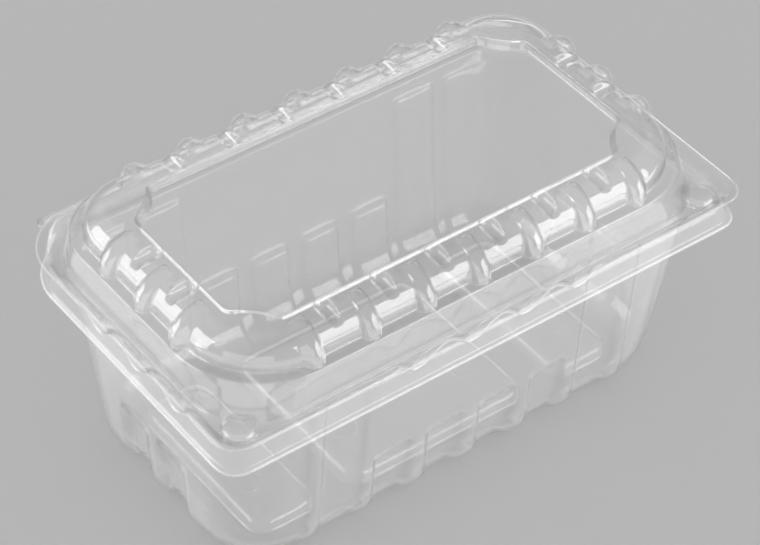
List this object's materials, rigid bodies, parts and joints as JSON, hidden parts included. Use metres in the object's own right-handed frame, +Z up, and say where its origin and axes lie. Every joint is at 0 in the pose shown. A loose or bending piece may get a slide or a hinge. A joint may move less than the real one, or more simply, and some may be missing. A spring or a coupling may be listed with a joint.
{
  "type": "hinged clear plastic punnet",
  "caption": "Deep rectangular clear tray with a domed, ribbed lid hinged along one long edge, made from one formed sheet; holds and vents loose food.",
  "frame": {"origin": "bottom centre of the pack, on the plane that it stands on", "axes": "+X along the length, +Y from the front opening edge towards the hinge, +Z up"},
  "size_m": [0.1868, 0.1116, 0.0895],
  "materials": {
    "clear_sheet": "clear, glossy, slightly rippled"
  },
  "bodies": {
    "tray": {"base_tray": "clear_sheet"},
    "lid": {"lid": "clear_sheet"}
  },
  "joints": [
    {"name": "lid_hinge", "type": "hinge", "parent": "tray", "child": "lid", "pos_m": [0, 0.0547, 0.07], "axis": [-1, 0, 0], "range_deg": [0, 180]}
  ]
}
